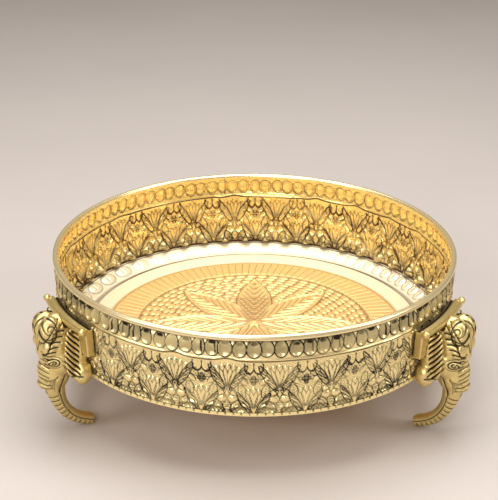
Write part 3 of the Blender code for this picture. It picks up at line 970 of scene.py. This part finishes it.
def head_shapes(bm):
    """The rounded forms of an elephant's head: skull, domes, cheeks, brows, eyes, ears and lips."""
    add_ball(bm, (10.2, 0, 38.3), (14.0, 13.4, 21.0))
    add_ball(bm, (9.5, 0, 48.0), (12.6, 15.2, 15.5))
    add_ball(bm, (13.2, 0, 58.0), (11.2, 10.8, 15.0))
    add_ball(bm, (3.0, 0, 40.0), (11.0, 16.4, 18.5))
    add_ball(bm, (17.6, 0, 66.2), (7.6, 7.6, 5.0))
    for side in (-1, 1):
        add_ball(bm, (16.6, side * 5.2, 27.4), (8.0, 7.2, 10.6))
        add_ball(bm, (17.0, side * 8.2, 38.0), (6.6, 4.6, 7.0))
        add_ball(bm, (17.2, side * 9.0, 47.2), (4.6, 3.9, 3.4))
        add_ball(bm, (7.2, side * 17.6, 39.5), (6.0, 3.3, 19.0), side * 0.45)
        add_ball(bm, (2.0, side * 16.6, 40.0), (6.0, 5.0, 17.0))
        add_ball(bm, (0.5, side * 18.6, 55.0), (6.5, 6.6, 8.6))


def leg_cuts(out, side, depth):
    """The chased lines of a leg: how deep they go and how dark they are at places on its surface."""
    far = np.abs(side)
    cheek = Relief(out, depth)
    flank = ease(2.5, 5.0, far)
    narrow = 1.2 + 0.07 * (depth - 22.0)
    ear = ease(14.2, 15.6, far) * ease(narrow, narrow + 1.5, out)
    ear = ear * ease(21.0, 23.0, depth) * ease(58.0, 55.0, depth)
    slant = depth + 1.15 * out
    cheek.put(ease(-0.15, 0.5, np.cos(math.tau * slant / 4.2)) * ear, -1.1, 1.0)
    flat = (1 - ease(13.5, 15.5, far)) * flank
    for step in range(6):
        start = (8.6 + 1.9 * step, 26.0 + 3.35 * step)
        end = (start[0] + 7.6 - 0.35 * step, start[1] + 0.6 + 0.25 * step)
        cut = off_line(out, depth, bent(start, (start[0] + 4, start[1] - 0.9), end, 5))
        cheek.put(stroke(cut, 0.75) * flat, -0.6, 0.8)
    eye = np.hypot((out - 18.6) / 4.4, (depth - 47.4 - 0.12 * (out - 18.6)) / 2.9)
    for ring, dark in ((1.0, 0.85), (0.52, 0.8), (1.5, 0.6)):
        cheek.put(stroke((eye - ring) * 2.9, 0.45) * flat * ease(26, 24, out), -0.4, dark)
    cheek.put(ease(0.35, 0.15, eye) * flat, -0.3, 0.7)
    for step in range(5):
        cut = off_line(out, depth, [(22.0 + 0.2 * step, 40.5 + 3.1 * step), (26.5, 41.8 + 3.1 * step)])
        cheek.put(stroke(cut, 0.55) * flank, -0.45, 0.8)
    band = bent((9.0, 20.0), (19.0, 25.0), (24.5, 43.0), 9)
    for shift in (-1.5, 1.6):
        cut = off_line(out, depth, band + np.array((-shift, shift * 0.6)))
        cheek.put(stroke(cut, 0.5) * flank, -0.5, 0.85)
    cap = np.hypot((out - 19.0) / 5.4, (depth - 24.6) / 7.8)
    side_cap = flank * ease(1.25, 1.0, cap)
    cheek.put(stroke((cap - 1.0) * 5.4, 0.55) * flank, -0.45, 0.85)
    swirl = np.cos(cap * 11 + 3 * np.arctan2(depth - 24.6, out - 19.0))
    cheek.put(ease(0.2, 0.9, swirl) * side_cap * ease(1.0, 0.85, cap), -0.35, 0.65)
    mouth = off_line(out, depth, bent((3.0, 55.5), (11.0, 53.5), (12.4, 73.0), 9))
    cheek.put(stroke(mouth, 0.85) * ease(1.0, 3.0, far), -0.7, 0.8)
    for step in range(5):
        start = (14.5, 58.5 + 0.4 * step)
        end = (16.0 + 2.0 * step, 71.0 - 2.6 * step)
        cut = off_line(out, depth, bent(start, (18.0, 62.0), end, 5))
        cheek.put(stroke(cut, 0.45) * ease(2.0, 4.0, far), -0.3, 0.55)
    brow = Relief(far, depth)
    face = ease(14.0, 19.0, out)
    for step in range(7):
        low = 3.4 * step
        fold = bent((0.0, 47.5 + low), (4.0, 47.0 + low), (8.0, 49.2 + low), 5)
        brow.put(stroke(off_line(far, depth, fold), 0.6) * face, -0.45, 0.7)
    petal = off_line(far, depth, bent((0.0, 17.5), (6.5, 30.0), (0.0, 42.0), 9))
    brow.put(stroke(petal, 0.6) * face, -0.5, 0.8)
    brow.put(stroke(far, 0.4) * face * ease(44.0, 42.0, depth), -0.35, 0.7)
    return cheek.height + brow.height, np.maximum(cheek.wax_and_shade, brow.wax_and_shade)


def trunk_cuts(out, side, depth):
    """Rings of wrinkles across the trunk's outer face and the line beside its smooth inner band."""
    below_head = trunk_path()[TRUNK_CUTS_FROM:]
    line = np.array([(place.x / MM - RIM_R, RIM_TOP - place.z / MM) for place, _, _ in below_head])
    nearest = np.full_like(out, 1e9)
    along = np.zeros_like(out)
    outer = np.zeros_like(out)
    travelled = 0.0
    for (ax, ay), (bx, by) in zip(line[:-1], line[1:]):
        length = math.hypot(bx - ax, by - ay)
        share = np.clip(((out - ax) * (bx - ax) + (depth - ay) * (by - ay)) / length**2, 0, 1)
        gap = np.hypot(out - ax - share * (bx - ax), depth - ay - share * (by - ay))
        turned = ((out - ax) * (by - ay) - (depth - ay) * (bx - ax)) / length
        closer = gap < nearest
        nearest = np.where(closer, gap, nearest)
        along = np.where(closer, travelled + share * length, along)
        outer = np.where(closer, turned, outer)
        travelled += length
    work = Relief(out, depth)
    trunk = ease(68.0, 72.0, depth) * ease(10.0, 8.0, nearest)
    wave = np.cos(math.tau * (along + 0.25 * np.abs(side)) / 3.6)
    work.put(ease(0.15, 0.95, wave) * trunk * ease(-0.6, 0.6, outer), -0.5, 0.6)
    work.put(stroke(outer + 1.0, 0.55) * trunk, -0.5, 0.75)
    return work


def leg_seat(depth):
    """How near the bowl's axis a leg may come at each depth: it clears the wall, saddle and pan."""
    step = CLEAR_STEP
    wall = wall_radius(depth)
    shelf_foot = SADDLE_TOP + SHELF_T + SHELF_FILLET
    shelf_r = float(wall_radius(np.array(SADDLE_TOP))) + SHELF_OUT + 3 * GAP
    beside_saddle = (depth > SADDLE_TOP - step) & (depth < SADDLE_TOP + SADDLE_H + step)
    seat = np.where(beside_saddle, wall + SADDLE_BACK + 3 * GAP, wall + 2 * GAP)
    seat = np.where((depth > SADDLE_TOP - step) & (depth < shelf_foot + step), shelf_r, seat)
    seat = np.where(depth > RIM_TOP - PAN_LIP_TOP - step, PAN_LIP_R + GAP, seat)
    rise = (GROOVE_DROP + SHEET + RIM_TOP - depth) / (RIM_TOP - WALL_FOOT - GAP + GROOVE_DROP)
    under = GROOVE_R + rise * (pan_seat_radius() - GROOVE_R) + 4 * GAP
    return np.where(depth > WALL_FOOT + UNDER_PAN, under, seat)


def leg_mesh(settings):
    """One cast leg along +X: forms joined into one skin, chased, then kept off the bowl."""
    bm = bmesh.new()
    head_shapes(bm)
    add_tube(bm, trunk_path())
    skin = one_skin(bm, "elephant_leg", settings.voxel, 8)
    points = get_points(skin)
    normals = np.empty(len(skin.vertices) * 3, np.float32)
    skin.vertex_normals.foreach_get("vector", normals)
    normals = normals.reshape(-1, 3).astype(float)
    out = np.hypot(points[:, 0], points[:, 1]) / MM - RIM_R
    side = points[:, 1] / MM
    depth = RIM_TOP - points[:, 2] / MM
    cut, wax_and_shade = leg_cuts(points[:, 0] / MM - RIM_R, side, depth)
    trunk = trunk_cuts(points[:, 0] / MM - RIM_R, side, depth)
    cast = 0.06 * np.sin(2.1 * side + 1.7 * depth) * np.sin(1.3 * out - 1.1 * depth)
    points += normals * ((cut + trunk.height + cast) * MM)[:, None]
    radius = np.hypot(points[:, 0], points[:, 1]) / MM
    depth = RIM_TOP - points[:, 2] / MM
    seat = leg_seat(depth)
    push = np.where(radius < seat, seat / radius, 1.0)
    points[:, :2] *= push[:, None]
    points[:, 2] = np.maximum(points[:, 2], GROUND * MM)
    set_points(skin, points)
    set_value(skin, "wax_and_shade", np.clip(np.maximum(wax_and_shade, trunk.wax_and_shade), 0, 1))
    set_value(skin, "inside", np.zeros(len(points)))
    return skin


def saddle_mesh(settings):
    """One saddle along +X: a curved shelf on a back that follows the wall, with a knob at each end."""
    top = RIM_TOP - SADDLE_TOP
    foot = top - SADDLE_H
    seat_top = float(wall_radius(np.array(SADDLE_TOP))) + 2 * GAP
    seat_foot = float(wall_radius(np.array(SADDLE_TOP + SADDLE_H))) + 2 * GAP
    outline = [
        (seat_top, top - 1.8),
        (seat_top + 0.3 * SHELF_OUT, top - 1.8),
        (seat_top + 0.42 * SHELF_OUT, top),
        (seat_top + 0.7 * SHELF_OUT, top - 0.9),
        (seat_top + SHELF_OUT, top),
        (seat_top + SHELF_OUT, top - SHELF_T),
        (seat_top + SADDLE_BACK, top - SHELF_T - SHELF_FILLET),
        (seat_foot + SADDLE_BACK, foot),
        (seat_foot, foot),
    ]
    arc = math.radians(SADDLE_ARC)
    bm = bmesh.new()
    face = bm.faces.new([bm.verts.new((r * MM, 0, z * MM)) for r, z in outline])
    bmesh.ops.rotate(bm, verts=bm.verts[:], cent=(0, 0, 0), matrix=Matrix.Rotation(-arc / 2, 3, "Z"))
    geometry = [face, *face.edges, *face.verts]
    bmesh.ops.spin(bm, geom=geometry, cent=(0, 0, 0), axis=(0, 0, 1), angle=arc, steps=32)
    bmesh.ops.recalc_face_normals(bm, faces=bm.faces[:])
    for side in (-1, 1):
        angle = side * arc / 2
        radius = (seat_top + SHELF_OUT - 0.6 * KNOB_R) * MM
        place = (radius * math.cos(angle), radius * math.sin(angle), (top - 0.45 * SHELF_T) * MM)
        matrix = Matrix.Translation(place) @ Matrix.Scale(KNOB_R * MM, 4)
        bmesh.ops.create_uvsphere(bm, u_segments=24, v_segments=14, radius=1.0, matrix=matrix)
    skin = one_skin(bm, "leg_saddle", settings.voxel, 3)
    points = get_points(skin)
    radius = np.hypot(points[:, 0], points[:, 1]) / MM
    depth = RIM_TOP - points[:, 2] / MM
    from_wall = radius - wall_radius(depth)
    # Painted shade in the shelf's groove by the wall, and in the gap where the saddle stands against it.
    sunk = ease(0.42 * SHELF_OUT, 0.3 * SHELF_OUT, from_wall)
    sunk = sunk * ease(SADDLE_TOP + 2.2, SADDLE_TOP + 1.6, depth)
    set_value(skin, "wax_and_shade", np.maximum(0.7 * ease(1.6, 0.4, from_wall), sunk))
    set_value(skin, "inside", np.zeros(len(points)))
    return skin


def turned_copy(mesh, name, degrees):
    """A copy of a mesh turned about the bowl's axis."""
    copy = mesh.copy()
    copy.name = name
    copy.transform(Matrix.Rotation(math.radians(degrees), 4, "Z"))
    copy.polygons.foreach_set("use_smooth", np.ones(len(copy.polygons), bool))
    copy.update()
    return copy


# ---- operators -----------------------------------------------------------------------------------
class URLI_OT_rolled_rim(Operator):
    """Builds the bead where the sheet is rolled over its wire."""

    bl_idname = "urli.rolled_rim"
    bl_label = "Rolled Rim"

    def execute(self, context):
        finish = context.scene.urli_finish
        metal = brass("rim_brass", finish.polished, finish.gilt_and_bounce_light, finish.wax_and_shade, 0.28, 0.1, 0.02, 0.8)
        piece(rim_mesh(), metal, "sheet_brass", "rim_wire", "wall_band")
        return {"FINISHED"}


class URLI_OT_wall(Operator):
    """Builds the embossed wall as three bands: the coins and the two rows of lotuses."""

    bl_idname = "urli.wall"
    bl_label = "Embossed Wall"

    def execute(self, context):
        pattern = context.scene.urli_pattern
        finish = context.scene.urli_finish
        metal = brass("chased_brass", finish.chased, finish.gilt_and_bounce_light, finish.wax_and_shade, 0.34, 0.35, 0.08, 0.9)
        bands = (
            ("wall_coins", COINS_TOP, COINS_FOOT, 28, 26),
            ("wall_upper_lotuses", COINS_FOOT, LOTUSES_MEET, 34, 32),
            ("wall_lower_lotuses", LOTUSES_MEET, WALL_FOOT, 34, 32),
        )
        for name, top, foot, rows_out, rows_in in bands:
            mesh = wall_mesh(name, top, foot, rows_out, rows_in, pattern)
            piece(mesh, metal, "sheet_brass", "wall_band")
        return {"FINISHED"}


class URLI_OT_floor(Operator):
    """Builds the floor: the medallion with its star, and the ring and ledge round it."""

    bl_idname = "urli.floor"
    bl_label = "Floor"

    def execute(self, context):
        pattern = context.scene.urli_pattern
        finish = context.scene.urli_finish
        worked = brass("floor_brass", finish.floor, finish.floor, finish.wax_and_shade, 0.50, 0.25, 0.06, 0.85)
        plain = brass("ledge_brass", finish.chased, finish.ledge, finish.wax_and_shade, 0.46, 0.1, 0.02, 0.75)
        piece(disc_mesh(pattern), worked, "sheet_brass", "base_pan")
        piece(ledge_mesh(), plain, "sheet_brass", "base_pan")
        return {"FINISHED"}


class URLI_OT_castings(Operator):
    """Builds the three elephant-head legs and the saddles that they hang on."""

    bl_idname = "urli.castings"
    bl_label = "Legs and Saddles"

    def execute(self, context):
        pattern = context.scene.urli_pattern
        finish = context.scene.urli_finish
        metal = brass("cast_brass", finish.cast, finish.gilt_and_bounce_light, finish.wax_and_shade, 0.40, 0.6, 0.16, 0.9)
        leg = leg_mesh(pattern)
        saddle = saddle_mesh(pattern)
        for place, degrees in LEG_ANGLES.items():
            name = f"elephant_leg_{place}"
            piece(turned_copy(leg, f"cast_{name}", degrees), metal, "cast_brass", name)
            name = f"leg_saddle_{place}"
            piece(turned_copy(saddle, f"cast_{name}", degrees), metal, "cast_brass", name)
        return {"FINISHED"}


class URLI_OT_stage(Operator):
    """Sets up the pale floor, the soft lights and the camera."""

    bl_idname = "urli.stage"
    bl_label = "Stage"

    def execute(self, context):
        stage = context.scene.urli_stage
        self.lay_floor(stage)
        self.set_lights(context)
        self.set_camera(context, stage)
        return {"FINISHED"}

    def lay_floor(self, stage):
        bm = bmesh.new()
        bmesh.ops.create_grid(bm, x_segments=8, y_segments=8, size=3.5)
        bmesh.ops.translate(bm, vec=(0, 1.2, GROUND * MM), verts=bm.verts[:])
        mesh = bpy.data.meshes.new("studio_floor")
        bm.to_mesh(mesh)
        bm.free()
        graph = Graph("studio_floor")
        cloud = graph.noise(5.0, 4.0, 0.6)
        pale = (*stage.floor, 1.0)
        deeper = (*(0.9 * c for c in stage.floor), 1.0)
        graph.feed(graph.shader.inputs["Base Color"], graph.between(cloud, pale, deeper))
        graph.feed(graph.shader.inputs["Roughness"], 0.75)
        mesh.materials.append(graph.material)
        link(bpy.data.objects.new("studio_floor", mesh))

    def set_lights(self, context):
        world = bpy.data.worlds.new("studio_air")
        world.use_nodes = True
        background = world.node_tree.nodes["Background"]
        background.inputs["Color"].default_value = (0.96, 0.85, 0.68, 1.0)
        background.inputs["Strength"].default_value = 0.17
        context.scene.world = world
        aim = Vector((0, 0, RIM_TOP * MM * 0.4))
        # name, place, width, height and watts of each
        lamps = (
            ("overhead_softbox", (0.0, 0.05, 1.20), 1.1, 1.2, 20.0),
            ("left_softbox", (-1.2, -0.65, 0.85), 0.4, 0.8, 7.0),
            ("right_softbox", (1.25, -0.35, 0.85), 0.5, 0.8, 8.0),
            ("front_softbox", (-0.35, -1.20, 0.60), 0.6, 0.35, 8.0),
        )
        for name, place, wide, high, power in lamps:
            light = bpy.data.lights.new(name, "AREA")
            light.shape = "RECTANGLE"
            light.size = wide
            light.size_y = high
            light.energy = power
            lamp = link(bpy.data.objects.new(name, light))
            lamp.location = place
            lamp.rotation_euler = (aim - Vector(place)).to_track_quat("-Z", "Y").to_euler()

    def set_camera(self, context, stage):
        camera = link(bpy.data.objects.new("camera", bpy.data.cameras.new("camera")))
        camera.data.lens = stage.lens
        camera.data.sensor_width = 36.0
        away = Vector((0, -math.cos(stage.pitch), math.sin(stage.pitch)))
        camera.location = Vector((0, 0, RIM_TOP * MM)) + away * stage.distance
        aim = Vector((-0.0039, 0.0, (RIM_TOP - 4.7) * MM))
        facing = (aim - camera.location).to_track_quat("-Z", "Y")
        roll = Matrix.Rotation(math.radians(0.29), 3, "Z")
        camera.rotation_euler = (facing.to_matrix() @ roll).to_euler()
        context.scene.camera = camera
        context.scene.view_settings.view_transform = "Standard"


class URLI_PT_panel(Panel):
    """Lists the pieces of the bowl and their settings."""

    bl_idname = "URLI_PT_panel"
    bl_label = "Urli Bowl"
    bl_space_type = "VIEW_3D"
    bl_region_type = "UI"
    bl_category = "Urli"

    def draw(self, context):
        for group in (context.scene.urli_pattern, context.scene.urli_finish, context.scene.urli_stage):
            box = self.layout.box()
            for name in group.__annotations__:
                box.prop(group, name)
        for operator in BUILDERS:
            self.layout.operator(operator.bl_idname)


BUILDERS = (URLI_OT_rolled_rim, URLI_OT_wall, URLI_OT_floor, URLI_OT_castings, URLI_OT_stage)
SETTINGS = {"urli_pattern": UrliPattern, "urli_finish": UrliFinish, "urli_stage": UrliStage}


def register():
    for cls in (*SETTINGS.values(), *BUILDERS, URLI_PT_panel):
        bpy.utils.register_class(cls)
    for name, group in SETTINGS.items():
        setattr(bpy.types.Scene, name, PointerProperty(type=group))


def unregister():
    for name in SETTINGS:
        delattr(bpy.types.Scene, name)
    for cls in (URLI_PT_panel, *reversed(BUILDERS), *SETTINGS.values()):
        bpy.utils.unregister_class(cls)


def main():
    register()
    bpy.ops.urli.rolled_rim()
    bpy.ops.urli.wall()
    bpy.ops.urli.floor()
    bpy.ops.urli.castings()
    bpy.ops.urli.stage()


if __name__ == "__main__":
    main()
